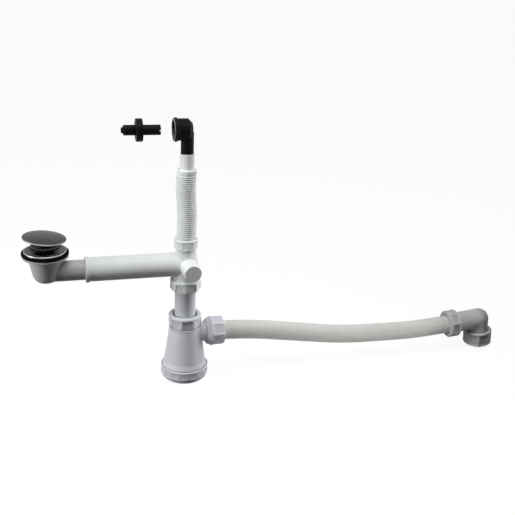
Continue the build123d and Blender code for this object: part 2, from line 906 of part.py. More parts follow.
# Union of trap and waste hose
outlet_nut = union_nut(
    "outlet_nut",
    outlet_plane,
    union_thread_radius,
    union_nut_wall,
    waste_hose_radius + hole_gap,
    outlet_nut_skirt,
    washer_height,
    union_nut_end,
    ring_in_front=False,
    cone=outlet_nut_cone,
)
outlet_washer = ring(
    "outlet_washer",
    outlet_plane,
    waste_hose_radius + running_gap,
    union_thread_radius - tube_gap,
    0,
    washer_height,
)

# Waste hose: a plain tube of straight runs and large tangent arcs, seated in both sockets
hose_start = outlet_plane.origin - outlet_plane.z_dir * hose_socket_depth
hose_end = arm_plane.origin - arm_plane.z_dir * hose_socket_depth
hose_points = [hose_start]
hose_points += [outlet_mouth + Vector(run, 0, -drop) for run, drop in hose_route_middle]
hose_points += [hose_end + arm_plane.z_dir * hose_last_run, hose_end]
bend_radii = []
for before, corner, after in zip(hose_points, hose_points[1:], hose_points[2:]):
    run_in = corner - before
    run_out = after - corner
    half_turn = radians(run_in.get_angle(run_out)) / 2
    bend_radii.append(hose_bend_ratio * min(run_in.length, run_out.length) / tan(half_turn))
with BuildPart() as waste_hose:
    with BuildLine():
        hose_line = FilletPolyline(*hose_points, radius=bend_radii)
    with BuildSketch(Plane(hose_start, x_dir=(0, 1, 0), z_dir=outlet_plane.z_dir)) as hose_section:
        Circle(waste_hose_radius)
        Circle(waste_hose_radius - waste_hose_wall, mode=Mode.SUBTRACT)
    sweep()
waste_hose.part.label = "waste_hose"
swept = hose_section.sketch.area * hose_line.length
print("hose bend radii", [round(radius) for radius in bend_radii])
print("hose length", round(hose_line.length, 1), "volume share", round(waste_hose.part.volume / swept, 4))

# Union of waste hose and far elbow
hose_end_nut = union_nut(
    "hose_end_nut",
    arm_plane,
    union_thread_radius,
    union_nut_wall,
    waste_hose_radius + hole_gap,
    hose_nut_skirt,
    washer_height,
    hose_nut_end,
    ring_in_front=True,
)
hose_end_washer = ring(
    "hose_end_washer",
    arm_plane,
    waste_hose_radius + running_gap,
    union_thread_radius - tube_gap,
    0,
    washer_height,
)

# Far elbow: two threaded sockets on a short round corner
with BuildPart() as outlet_elbow:
    with Locations(elbow_corner):
        Sphere(elbow_radius)
    turn(
        arm_plane,
        (0, 0),
        (union_thread_radius, 0),
        (union_thread_radius, -elbow_arm_thread),
        (elbow_radius, -elbow_arm_thread),
        (elbow_radius, -elbow_arm),
        (0, -elbow_arm),
    )
    turn(
        leg_plane,
        (0, 0),
        (union_thread_radius, 0),
        (union_thread_radius, -elbow_leg_thread),
        (elbow_radius, -elbow_leg_thread),
        (elbow_radius, -elbow_leg),
        (0, -elbow_leg),
    )
    with Locations(elbow_corner):
        Sphere(elbow_bore_radius, mode=Mode.SUBTRACT)
    bore(arm_plane, elbow_bore_radius, -elbow_arm, 0)
    bore(arm_plane, hose_socket_radius, -hose_socket_depth - elbow_end_gap, 0)
    bore(leg_plane, elbow_bore_radius, -elbow_leg, 0)
    bore(leg_plane, drain_bore_radius, -drain_socket_depth, 0)
outlet_elbow.part.label = "outlet_elbow"

# Union under the elbow, ready for the drain pipe
socket_nut = union_nut(
    "socket_nut",
    leg_plane,
    union_thread_radius,
    socket_nut_wall,
    drain_pipe_radius + hole_gap,
    socket_nut_skirt,
    washer_height,
    socket_nut_end,
    ring_in_front=False,
)
socket_washer = ring(
    "socket_washer",
    leg_plane,
    drain_bore_radius,
    union_thread_radius - tube_gap,
    0,
    washer_height,
)

pieces = (
    plug_cap, plug_stem, plug_seal, drain_flange, click_cartridge, click_spring, sink_seal,
    waste_body, telescope_seal, tee_pipe, tee_nut, tee_washer, tail_tube, overflow_nut,
    overflow_washer, overflow_hose, overflow_elbow, overflow_seal, overflow_nipple,
    trap_inlet_nut, trap_inlet_washer, trap_body, trap_cup, cup_gasket, outlet_nut, outlet_washer,
    waste_hose, hose_end_nut, hose_end_washer, outlet_elbow, socket_nut, socket_washer,
)
for piece in pieces:
    export_step(piece.part, f"parts/{piece.part.label}.step")
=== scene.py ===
# %% [markdown]
# # Sink waste and trap kit
# The measured solids are loaded first and stay where they are. Every cell after that dresses them.

# %% Load the frame
import json
from math import cos, pi, radians, sin

import bpy
import numpy as np
from mathutils import Matrix, Vector


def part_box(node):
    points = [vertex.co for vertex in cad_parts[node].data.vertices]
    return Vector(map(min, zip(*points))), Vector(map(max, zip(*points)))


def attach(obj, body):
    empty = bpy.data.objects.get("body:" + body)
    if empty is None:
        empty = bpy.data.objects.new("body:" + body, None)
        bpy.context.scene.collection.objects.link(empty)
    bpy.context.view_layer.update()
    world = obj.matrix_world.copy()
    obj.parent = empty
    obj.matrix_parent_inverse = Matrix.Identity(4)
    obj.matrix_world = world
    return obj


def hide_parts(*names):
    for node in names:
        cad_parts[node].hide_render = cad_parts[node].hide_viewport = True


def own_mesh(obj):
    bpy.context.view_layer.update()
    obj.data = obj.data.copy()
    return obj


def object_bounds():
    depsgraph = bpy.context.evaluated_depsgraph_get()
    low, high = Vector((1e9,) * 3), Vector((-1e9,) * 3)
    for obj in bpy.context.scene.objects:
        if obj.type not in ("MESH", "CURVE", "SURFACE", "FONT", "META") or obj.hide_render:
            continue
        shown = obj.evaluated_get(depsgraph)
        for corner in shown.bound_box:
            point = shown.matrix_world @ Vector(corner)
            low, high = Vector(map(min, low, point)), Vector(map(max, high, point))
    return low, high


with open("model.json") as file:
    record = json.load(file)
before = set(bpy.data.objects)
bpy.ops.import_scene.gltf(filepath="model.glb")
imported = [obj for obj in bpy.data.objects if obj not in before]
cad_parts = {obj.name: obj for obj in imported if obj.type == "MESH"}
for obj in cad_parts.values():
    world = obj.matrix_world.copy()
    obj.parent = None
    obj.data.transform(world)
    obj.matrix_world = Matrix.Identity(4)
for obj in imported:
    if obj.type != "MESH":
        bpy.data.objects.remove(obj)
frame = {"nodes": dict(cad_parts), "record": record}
solid_low, solid_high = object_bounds()
nodes = frame["nodes"]
print("solids", len(nodes), "box", [round(v, 4) for v in solid_high - solid_low])

# %% [markdown]
# ## Camera
# A camera can be aimed with a constraint, but writing its axes down keeps the roll exact.

# %% Camera
view_azimuth = radians(-16.47)
view_pitch = radians(21.73)
view_roll = radians(2.92)
view_target = Vector((0.33527, 0.0, -0.03047))
view_distance = 1.26211
view_lens = 53.73
view_depth = 60.0

backward = Vector((
    sin(view_azimuth) * cos(view_pitch),
    -cos(view_azimuth) * cos(view_pitch),
    sin(view_pitch),
))
level_right = Vector((cos(view_azimuth), sin(view_azimuth), 0.0))
level_up = backward.cross(level_right)
rightward = level_right * cos(view_roll) + level_up * sin(view_roll)
upward = level_up * cos(view_roll) - level_right * sin(view_roll)

camera_data = bpy.data.cameras.new("camera")
camera_data.lens = view_lens
camera_data.clip_end = view_depth
camera = bpy.data.objects.new("camera", camera_data)
bpy.context.scene.collection.objects.link(camera)
camera_axes = Matrix((rightward, upward, backward)).transposed()
camera.matrix_world = Matrix.LocRotScale(view_target + backward * view_distance, camera_axes, None)
bpy.context.scene.camera = camera
print("camera at", [round(v, 3) for v in camera.matrix_world.translation])

# %% [markdown]
# ## Light and floor
# White plastic only shows its roundness when its underside falls dark, so the light is a broad
# lamp overhead with a softer one at each side, over a dim surrounding. A small card near the floor
# lifts the underside of the waste hose.

# %% Light and floor
bpy.context.scene.view_settings.view_transform = "Standard"
plain_white = (1.0, 1.0, 1.0, 1.0)
surround_tint = (0.95, 0.97, 1.0, 1.0)
surround_level = 0.05
floor_paper = (0.95, 0.95, 0.95, 1.0)
floor_glow = 1.03
floor_bounce = (0.02, 0.02, 0.021, 1.0)
floor_shadow_share = 0.08
floor_half = 14.0


def higher_of(tree, first, second):
    """The higher of two numbers."""
    higher = tree.nodes.new("ShaderNodeMath")
    higher.operation = "MAXIMUM"
    tree.links.new(first, higher.inputs[0])
    tree.links.new(second, higher.inputs[1])
    return higher.outputs[0]


def seen_directly(tree):
    """One for rays from the eye, from a mirror or through glass, nought for scattered light."""
    path = tree.nodes.new("ShaderNodeLightPath").outputs
    eye_or_mirror = higher_of(tree, path["Is Camera Ray"], path["Is Glossy Ray"])
    return higher_of(tree, eye_or_mirror, path["Is Transmission Ray"])


def light_surround():
    world = bpy.data.worlds.new("surround")
    bpy.context.scene.world = world
    world.use_nodes = True
    tree = world.node_tree
    dim = tree.nodes["Background"]
    dim.inputs["Color"].default_value = surround_tint
    dim.inputs["Strength"].default_value = surround_level
    white = tree.nodes.new("ShaderNodeBackground")
    white.inputs["Color"].default_value = plain_white
    either = tree.nodes.new("ShaderNodeMixShader")
    tree.links.new(seen_directly(tree), either.inputs[0])
    tree.links.new(dim.outputs[0], either.inputs[1])
    tree.links.new(white.outputs[0], either.inputs[2])
    tree.links.new(either.outputs[0], tree.nodes["World Output"].inputs["Surface"])


def lay_floor(height):
    corners = [(-1, -1), (1, -1), (1, 1), (-1, 1)]
    mesh = bpy.data.meshes.new("floor")
    mesh.from_pydata([(x * floor_half, y * floor_half, height) for x, y in corners], [], [(0, 1, 2, 3)])
    floor = bpy.data.objects.new("floor", mesh)
    bpy.context.scene.collection.objects.link(floor)
    paper = bpy.data.materials.new("floor paper")
    paper.use_nodes = True
    tree = paper.node_tree
    tree.nodes.remove(tree.nodes["Principled BSDF"])
    lit = tree.nodes.new("ShaderNodeBsdfDiffuse")
    lit.inputs["Color"].default_value = floor_paper
    glow = tree.nodes.new("ShaderNodeEmission")
    glow.inputs["Color"].default_value = plain_white
    glow.inputs["Strength"].default_value = floor_glow
    shown = tree.nodes.new("ShaderNodeMixShader")
    shown.inputs[0].default_value = floor_shadow_share
    tree.links.new(glow.outputs[0], shown.inputs[1])
    tree.links.new(lit.outputs[0], shown.inputs[2])
    bounce = tree.nodes.new("ShaderNodeBsdfDiffuse")
    bounce.inputs["Color"].default_value = floor_bounce
    either = tree.nodes.new("ShaderNodeMixShader")
    tree.links.new(seen_directly(tree), either.inputs[0])
    tree.links.new(bounce.outputs[0], either.inputs[1])
    tree.links.new(shown.outputs[0], either.inputs[2])
    tree.links.new(either.outputs[0], tree.nodes["Material Output"].inputs["Surface"])
    mesh.materials.append(paper)


def hang_lamp(name, place, aim, width, height, power, beam=180.0):
    """A rectangular soft lamp at a place, turned to face a point; beam is its angle in degrees."""
    lamp = bpy.data.lights.new(name, "AREA")
    lamp.shape = "RECTANGLE"
    lamp.size = width
    lamp.size_y = height
    lamp.energy = power
    lamp.spread = radians(beam)
    holder = bpy.data.objects.new(name, lamp)
    bpy.context.scene.collection.objects.link(holder)
    holder.visible_camera = False
    towards = Vector(aim) - Vector(place)
    holder.matrix_world = Matrix.LocRotScale(Vector(place), towards.to_track_quat("-Z", "Y"), None)


light_surround()
lay_floor(solid_low.z)
hang_lamp(
    "overhead lamp", place=(0.12, -0.38, 1.35), aim=(0.25, 0.0, -0.05),
    width=1.4, height=0.7, power=18.0,
)
hang_lamp(
    "left lamp", place=(-1.35, -0.20, 0.30), aim=(0.15, 0.0, -0.10),
    width=0.5, height=0.8, power=17.0,
)
hang_lamp(
    "right lamp", place=(0.72, 0.02, 0.02), aim=(0.216, 0.0, -0.10),
    width=0.30, height=0.45, power=0.46, beam=70.0,
)
hang_lamp(
    "floor card", place=(0.48, -0.05, -0.235), aim=(0.48, -0.02, -0.18),
    width=0.42, height=0.08, power=0.15,
)
print("floor at", round(solid_low.z, 4))

# %% [markdown]
# ## Finishes
# Each finish is a Principled shader whose colour and roughness drift a little over the surface, as
# a moulded or coated part's do, with a fine grain in the normal. The patterns read Object
# coordinates, so they stay on the piece when it moves. Sharp moulded edges are shaded round.

# %% Finish helpers
noise_low, noise_high = 0.3, 0.7
patch_scale = 55.0
smear_scale = 160.0
smear_polish, smear_dullness = 0.05, 0.07
grain_scale, grain_detail = 1400.0, 2.0
grain_height = 0.00003
edge_samples = 6
plastic_gloss, metal_gloss = 0.15, 0.5


def start_finish(name):
    """A new material, its node tree, its shader and the socket with the object's coordinates."""
    finish = bpy.data.materials.new(name)
    finish.use_nodes = True
    tree = finish.node_tree
    place = tree.nodes.new("ShaderNodeTexCoord")
    return finish, tree, tree.nodes["Principled BSDF"], place.outputs["Object"]


def cloudy(tree, place, scale, detail=4.0):
    """Soft random patches, about one in the length 1 / scale metres."""
    noise = tree.nodes.new("ShaderNodeTexNoise")
    noise.inputs["Scale"].default_value = scale
    noise.inputs["Detail"].default_value = detail
    tree.links.new(place, noise.inputs["Vector"])
    return noise.outputs["Fac"]


def between(tree, amount, low, high):
    """A colour that goes from one to another with the amount, over its middle range."""
    ramp = tree.nodes.new("ShaderNodeValToRGB")
    ramp.color_ramp.elements[0].position = noise_low
    ramp.color_ramp.elements[0].color = (*low, 1.0)
    ramp.color_ramp.elements[1].position = noise_high
    ramp.color_ramp.elements[1].color = (*high, 1.0)
    tree.links.new(amount, ramp.inputs["Fac"])
    return ramp.outputs["Color"]


def spread(tree, amount, low, high):
    """A number that goes from low to high with the amount, over its middle range."""
    scale = tree.nodes.new("ShaderNodeMapRange")
    scale.inputs["From Min"].default_value = noise_low
    scale.inputs["From Max"].default_value = noise_high
    scale.inputs["To Min"].default_value = low
    scale.inputs["To Max"].default_value = high
    tree.links.new(amount, scale.inputs["Value"])
    return scale.outputs["Result"]


def raise_grain(tree, shader, amount, height):
    """Tilt the surface as if the amount were a height in metres times that factor."""
    bump = tree.nodes.new("ShaderNodeBump")
    bump.inputs["Strength"].default_value = 1.0
    bump.inputs["Distance"].default_value = height
    tree.links.new(amount, bump.inputs["Height"])
    tree.links.new(bump.outputs["Normal"], shader.inputs["Normal"])


def round_edges(finish, radius):
    """Shade sharp edges as if they were rounded by that radius, as moulded edges are."""
    tree = finish.node_tree
    soften = tree.nodes.new("ShaderNodeBevel")
    soften.samples = edge_samples
    soften.inputs["Radius"].default_value = radius
    tree.links.new(soften.outputs["Normal"], tree.nodes["Bump"].inputs["Normal"])


def moulded_plastic(name, colour, roughness, drift=0.03, gloss=plastic_gloss):
    """Injection-moulded plastic: colour drifts over centimetres, with a fine eroded grain."""
    finish, tree, shader, place = start_finish(name)
    darker = [c * (1 - drift) for c in colour]
    lighter = [min(1.0, c * (1 + drift)) for c in colour]
    patches = cloudy(tree, place, patch_scale)
    tree.links.new(between(tree, patches, darker, lighter), shader.inputs["Base Color"])
    smears = cloudy(tree, place, smear_scale)
    dullness = spread(tree, smears, roughness - smear_polish, roughness + smear_dullness)
    tree.links.new(dullness, shader.inputs["Roughness"])
    raise_grain(tree, shader, cloudy(tree, place, grain_scale, grain_detail), grain_height)
    shader.inputs["Specular IOR Level"].default_value = gloss
    return finish


def as_metal(finish):
    """The same finish, reflecting as bare metal does."""
    inputs = finish.node_tree.nodes["Principled BSDF"].inputs
    inputs["Metallic"].default_value = 1.0
    inputs["Specular IOR Level"].default_value = metal_gloss
    return finish


# %% Finishes
moulded_edge = 0.0011
graphite = (0.041, 0.040, 0.038)
coat_roughness = 0.36
rim_tint = (1.0, 0.98, 0.93)

white_moulding = moulded_plastic("white moulding", (0.80, 0.82, 0.82), roughness=0.38)
bellows_moulding = moulded_plastic("bellows moulding", (0.80, 0.82, 0.82), roughness=0.38)
# The waste body is white plastic like the pipe; its grey colour is painted shade, for the shade that
# the flange casts over the bowl and spigot
painted_shade_body_moulding = moulded_plastic("body moulding with painted shade", (0.49, 0.485, 0.495), roughness=0.40)
trap_moulding = moulded_plastic("trap moulding", (0.68, 0.69, 0.74), roughness=0.34)
# The far elbow and its nuts are the same pale plastic as the rest; their darker grey is painted shade,
# for the weaker light at that end of the kit
painted_shade_outlet_moulding = moulded_plastic("outlet moulding with painted shade", (0.45, 0.45, 0.455), roughness=0.42)
hose_moulding = moulded_plastic("hose moulding", (0.64, 0.625, 0.60), roughness=0.55)
black_moulding = moulded_plastic(
    "black moulding", (0.0045, 0.0045, 0.0045), roughness=0.45, drift=0.10, gloss=0.05
)
seal_rubber = moulded_plastic(
    "seal rubber", (0.0035, 0.0035, 0.0033), roughness=0.70, drift=0.15, gloss=0.02
)
mouth_rubber = moulded_plastic(
    "mouth rubber", (0.22, 0.22, 0.215), roughness=0.50, drift=0.05, gloss=0.20
)
turned_brass = as_metal(moulded_plastic("turned brass", (0.70, 0.52, 0.24), roughness=0.30))
spring_wire = as_metal(moulded_plastic("spring wire", (0.56, 0.56, 0.57), roughness=0.28))
for finish in (white_moulding, painted_shade_body_moulding, trap_moulding, painted_shade_outlet_moulding, black_moulding):
    round_edges(finish, moulded_edge)


def rim_highlighted(name, rim_start, rim_end, rim_level):
    """Satin graphite metal coat, made lighter and warmer between two radii from the drain's axis as a
    painted highlight along the rim.
    """
    finish = as_metal(moulded_plastic(name, graphite, coat_roughness))
    tree = finish.node_tree
    shader = tree.nodes["Principled BSDF"]
    coat = shader.inputs["Base Color"].links[0].from_socket
    place = tree.nodes.new("ShaderNodeTexCoord")
    flatten = tree.nodes.new("ShaderNodeVectorMath")
    flatten.operation = "MULTIPLY"
    flatten.inputs[1].default_value = (1.0, 1.0, 0.0)
    tree.links.new(place.outputs["Object"], flatten.inputs[0])
    radius = tree.nodes.new("ShaderNodeVectorMath")
    radius.operation = "LENGTH"
    tree.links.new(flatten.outputs["Vector"], radius.inputs[0])
    rim_highlight_band = tree.nodes.new("ShaderNodeMapRange")
    rim_highlight_band.inputs["From Min"].default_value = rim_start
    rim_highlight_band.inputs["From Max"].default_value = rim_end
    tree.links.new(radius.outputs["Value"], rim_highlight_band.inputs["Value"])
    # The band between the two radii is a painted highlight
    blend = tree.nodes.new("ShaderNodeMix")
    blend.data_type = "RGBA"
    # A Mix node has sockets for every data type: 6 and 7 are its two colours, output 2 their mix
    blend.inputs[7].default_value = (*[tint * rim_level for tint in rim_tint], 1.0)
    tree.links.new(rim_highlight_band.outputs["Result"], blend.inputs[0])
    tree.links.new(coat, blend.inputs[6])
    tree.links.new(blend.outputs[2], shader.inputs["Base Color"])
    return finish


# The lighter, warmer band at the rim of the cap and of the flange is a painted highlight
cap_coat = rim_highlighted("cap coat", rim_start=0.0316, rim_end=0.0324, rim_level=0.24)
flange_coat = rim_highlighted("flange coat", rim_start=0.0300, rim_end=0.0312, rim_level=0.38)
# The outlet_plastic slot gets the grey finish with painted shade
finish_of_slot = {
    "graphite_metal": flange_coat,
    "brass": turned_brass,
    "spring_steel": spring_wire,
    "black_rubber": seal_rubber,
    "white_plastic": white_moulding,
    "trap_plastic": trap_moulding,
    "outlet_plastic": painted_shade_outlet_moulding,
    "hose_plastic": hose_moulding,
    "black_plastic": black_moulding,
}
for entry in frame["record"]["subparts"]:
    mesh = nodes[entry["node"]].data
    mesh.materials.clear()
    mesh.materials.append(finish_of_slot[entry["material_slot"]])
# The waste body gets the grey finish with painted shade
own_finish = {"plug_cap": cap_coat, "waste_body": painted_shade_body_moulding, "overflow_seal": mouth_rubber}
for name, finish in own_finish.items():
    nodes[name].data.materials.clear()
    nodes[name].data.materials.append(finish)
print("finishes", len(finish_of_slot) + len(own_finish) + 1)

# %% [markdown]
# ## Flexible waste hose
# The hose is a finely ribbed tube that sags between the trap and the far elbow. Its line is one
# smooth NURBS spline through the route's points, and the ribbed skin is carried along that line.

# %% Waste hose
hose_diameter = 0.032
hose_wall = 0.0021
hose_rib_depth = 0.0002
hose_rib_count = 130
hose_sides = 48
hose_rings_per_rib = 8
route_resolution = 48
hose_route = [
    (0.257, 0.0, -0.1580),
    (0.312, 0.0, -0.1580),
    (0.420, 0.0, -0.1750),
    (0.500, 0.0, -0.1872),
    (0.580, 0.0, -0.1895),
    (0.654332, 0.0, -0.190052),
    (0.722954, 0.0, -0.182840),
]


def spline_points(route):
    """Points along a smooth NURBS line that has the route's points as its control points."""
    data = bpy.data.curves.new("route", "CURVE")
    data.dimensions = "3D"
    data.resolution_u = route_resolution
    spline = data.splines.new("NURBS")
    spline.points.add(len(route) - 1)
    spline.points.foreach_set("co", np.c_[np.array(route), np.ones(len(route))].ravel())
    spline.order_u = 3
    spline.use_endpoint_u = True
    holder = bpy.data.objects.new("route", data)
    bpy.context.scene.collection.objects.link(holder)
    line = bpy.data.meshes.new_from_object(holder)
    points = np.empty(len(line.vertices) * 3)
    line.vertices.foreach_get("co", points)
    bpy.data.objects.remove(holder)
    bpy.data.meshes.remove(line)
    return points.reshape(-1, 3)


def evenly(points, count):
    """The same line with its points at equal distances, and its length."""
    steps = np.linalg.norm(np.diff(points, axis=0), axis=1)
    along = np.r_[0.0, np.cumsum(steps)]
    wanted = np.linspace(0.0, along[-1], count)
    return np.stack([np.interp(wanted, along, points[:, k]) for k in range(3)], axis=-1), along[-1]


def torus_faces(rows, columns):
    """Quads of a grid whose last row joins its first, and last column its first."""
    row, column = np.meshgrid(np.arange(rows), np.arange(columns), indexing="ij")
    next_row = (row + 1) % rows
    next_column = (column + 1) % columns
    corners = [(row, column), (row, next_column), (next_row, next_column), (next_row, column)]
    return np.stack([r * columns + c for r, c in corners], axis=-1).reshape(-1, 4)


def mesh_object(name, points, faces, finish):
    """A smooth-shaded mesh object at the origin with one finish."""
    mesh = bpy.data.meshes.new(name)
    mesh.from_pydata(points.reshape(-1, 3).tolist(), [], faces.tolist())
    mesh.polygons.foreach_set("use_smooth", np.ones(len(mesh.polygons), dtype=bool))
    mesh.materials.append(finish)
    mesh.update()
    piece = bpy.data.objects.new(name, mesh)
    bpy.context.scene.collection.objects.link(piece)
    return piece


def ribbed_tube(line, radius, wall, pitch, depth, sides):
    """Tube round a line in the plane y = 0: the outer skin is radius - depth sin^2(pi s / pitch).

    The outer skin runs forward and the plain bore runs back, so that the grid closes on itself.
    """
    tangent = np.gradient(line, axis=0)
    tangent /= np.linalg.norm(tangent, axis=1, keepdims=True)
    across = np.tile((0.0, 1.0, 0.0), (len(line), 1))
    upright = np.cross(tangent, across)
    along = np.r_[0.0, np.cumsum(np.linalg.norm(np.diff(line, axis=0), axis=1))]
    skin = radius - depth * np.sin(pi * along / pitch) ** 2
    bore = np.full(len(line), radius - wall)
    angle = np.linspace(0.0, 2 * pi, sides, endpoint=False)[None, :, None]
    spoke = np.cos(angle) * across[:, None, :] + np.sin(angle) * upright[:, None, :]
    outside = line[:, None, :] + spoke * skin[:, None, None]
    inside = line[:, None, :] + spoke * bore[:, None, None]
    return np.concatenate([outside, inside[::-1]])


hose_line, hose_length = evenly(spline_points(hose_route), hose_rib_count * hose_rings_per_rib + 1)
hose_grid = ribbed_tube(
    hose_line, hose_diameter / 2, hose_wall, hose_length / hose_rib_count, hose_rib_depth, hose_sides
)
hose_faces = torus_faces(*hose_grid.shape[:2])
hose_skin = mesh_object("ribbed_waste_hose", hose_grid, hose_faces, hose_moulding)
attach(hose_skin, "trap")
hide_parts("waste_hose")
print("hose", round(hose_length, 4), "m,", len(hose_faces), "faces")

# %% [markdown]
# ## Overflow bellows
# The overflow hose is a bellows of soft round ribs. It was lifted by hand to meet the elbow, so its
# middle wanders a millimetre or so off the straight line, while both ends stay in their seats.

# %% Overflow bellows
bellows_axis = (0.216, 0.0)
bellows_start = 0.0122
bellows_pitch = 0.0033
bellows_ribs = 31
bellows_root = 0.0140
bellows_rib_depth = 0.0017
bellows_rib_fullness = 0.8
bellows_bore = 0.0114
foot_radius, foot_low, foot_high = 0.0164, 0.0047, 0.0072
collar_radius, collar_low, collar_high = 0.0149, 0.1155, 0.1220
cuff_radius, cuff_bore, cuff_top = 0.01106, 0.00996, 0.1470
stop_radius, stop_low, stop_high = 0.0082, 0.1210, 0.1225
neck_height = 0.1195
bore_low, bore_high, bore_rows = 0.0060, 0.1185, 40
foot_rounding = [0.0, 0.0003, 0.0003, 0.0, 0.0]
crown_rounding = [0.0, 0.0004, 0.0009, 0.0003, 0.0004, 0.0003, 0.0, 0.0, 0.0, 0.0]
samples_per_rib = 10
bellows_sides = 72
bow_heights = [0.0122, 0.020, 0.034, 0.058, 0.084, 0.104, 0.1215]
bow_offsets = [0.0, 0.0008, 0.0012, 0.0007, -0.0010, -0.0012, 0.0]
bow_ease = 0.0060


def round_corner(before, corner, after, radius, steps=5):
    """Points of the arc of that radius that touches both sides of a corner.

    With h half the angle between the sides, the arc touches them radius / tan h from the corner.
    """
    before, corner, after = (np.array(p, float) for p in (before, corner, after))
    a = (before - corner) / np.linalg.norm(before - corner)
    b = (after - corner) / np.linalg.norm(after - corner)
    half = np.arccos(np.clip(a @ b, -1.0, 1.0)) / 2
    middle = (a + b) / np.linalg.norm(a + b)
    centre = corner + middle * radius / np.sin(half)
    first = corner + a * radius / np.tan(half) - centre
    last = corner + b * radius / np.tan(half) - centre
    turn = np.linspace(0.0, 1.0, steps)[:, None]
    swing = pi - 2 * half
    return centre + (np.sin((1 - turn) * swing) * first + np.sin(turn * swing) * last) / np.sin(swing)


def rounded(corners, radii):
    """A closed outline of (radius, height) corners, each one rounded by its own radius."""
    rows = []
    for k, (corner, radius) in enumerate(zip(corners, radii)):
        if radius > 0.0:
            rows.append(round_corner(corners[k - 1], corner, corners[(k + 1) % len(corners)], radius))
        else:
            rows.append(np.array([corner], float))
    return np.concatenate(rows)


def turned(outline, axis, sides, shift):
    """Turn a closed outline of (radius, height) about an upright axis.

    A point at angle t is (x + shift(z) + r cos t, y + r sin t, z), with the outline running
    upward on its outside, so that the faces look outward.
    """
    radius, height = outline[:, 0, None], outline[:, 1, None]
    angle = np.linspace(0.0, 2 * pi, sides, endpoint=False)[None, :]
    x = axis[0] + shift(height) + radius * np.cos(angle)
    y = axis[1] + radius * np.sin(angle)
    return np.stack([x, y, height + 0.0 * angle], axis=-1)


def bow(height):
    """Sideways shift of the bellows, eased between the given heights."""
    steps = bow_ease * np.array([-1.0, -0.5, 0.0, 0.5, 1.0])
    eased = sum(np.interp(height + step, bow_heights, bow_offsets) for step in steps) / len(steps)
    inside = (height > bow_heights[0] + bow_ease) & (height < bow_heights[-1] - bow_ease)
    return np.where(inside, eased, np.interp(height, bow_heights, bow_offsets))


rib_turn = np.linspace(0.0, 2 * pi * bellows_ribs, bellows_ribs * samples_per_rib + 1)
rib_swell = (0.5 - 0.5 * np.cos(rib_turn)) ** bellows_rib_fullness
rib_height = bellows_start + bellows_pitch * rib_turn / (2 * pi)
rib_skin = np.c_[bellows_root + bellows_rib_depth * rib_swell, rib_height]
foot = rounded(
    [
        (bellows_bore, foot_low), (foot_radius, foot_low), (foot_radius, foot_high),
        (bellows_root, foot_high), (bellows_root, bellows_start),
    ],
    foot_rounding,
)[:-1]
crown = rounded(
    [
        (bellows_root, rib_height[-1]), (collar_radius, collar_low), (collar_radius, collar_high),
        (cuff_radius, collar_high), (cuff_radius, cuff_top), (cuff_bore, cuff_top),
        (cuff_bore, stop_high), (stop_radius, stop_high), (stop_radius, stop_low),
        (bellows_bore, neck_height),
    ],
    crown_rounding,
)[1:]
bore = np.c_[np.full(bore_rows, bellows_bore), np.linspace(bore_high, bore_low, bore_rows)]
bellows_outline = np.concatenate([foot, rib_skin, crown, bore])
bellows_grid = turned(bellows_outline, bellows_axis, bellows_sides, bow)
bellows_faces = torus_faces(*bellows_grid.shape[:2])
bellows = mesh_object("overflow_bellows", bellows_grid, bellows_faces, bellows_moulding)
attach(bellows, "tee")
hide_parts("overflow_hose")
print("bellows", len(bellows_faces), "faces")

# %% [markdown]
# ## Union nuts
# A hand-tightened plastic nut is a turned ring with eight shallow flats pressed into it, and a
# narrow rib for the fingers between each two. Flats could be cut with booleans, but those leave
# knife edges. Here the nut is one grid: its outline is turned, and each radius is held down to the
# nearest flat, except on the ribs.

# %% Union nut surface
thread_gap = 0.00025
edge_break = 0.0010
nut_bevel = 0.0020
nut_ring = 0.0032
nut_flat_depth = 0.0026
nut_flat_count = 8
flat_pitch = 2 * pi / nut_flat_count
nut_rib_half = 0.0017
outline_step = 0.0006
edge_softness = 0.0005
shoulder_run = 0.0005
points_per_flat = 8
nut_rounding = [0.0, 0.0005, 0.0008, 0.0010, 0.0008, 0.0005, 0.0004, 0.0, 0.0]


def spaced(outline, step):
    """The same closed outline with extra points, so that no two neighbours are a step apart."""
    rows = []
    for here, there in zip(outline, np.roll(outline, -1, axis=0)):
        count = max(1, int(np.ceil(np.linalg.norm(there - here) / step)))
        rows.append(here + (there - here) * np.arange(count)[:, None] / count)
    return np.concatenate(rows)


def soft_lower(a, b, softness):
    """The lower of two numbers, with the crossing rounded: min(a, b) - max(k - |a - b|, 0)^2 / 4k."""
    overlap = np.maximum(softness - np.abs(a - b), 0.0)
    return np.minimum(a, b) - overlap**2 / (4 * softness)


def rib_angles(radius, first_angle):
    """Angles round a nut, close together at the sides of each rib and wide apart on the flats."""
    rib_side = (nut_rib_half + shoulder_run * np.array([-1.5, -0.5, 0.5, 1.5])) / radius
    middle = np.linspace(rib_side[-1], flat_pitch - rib_side[-1], points_per_flat)[1:-1]
    local = np.concatenate([[0.0], rib_side, middle, flat_pitch - rib_side[::-1]])
    return (first_angle + flat_pitch * np.arange(nut_flat_count)[:, None] + local).reshape(1, -1)


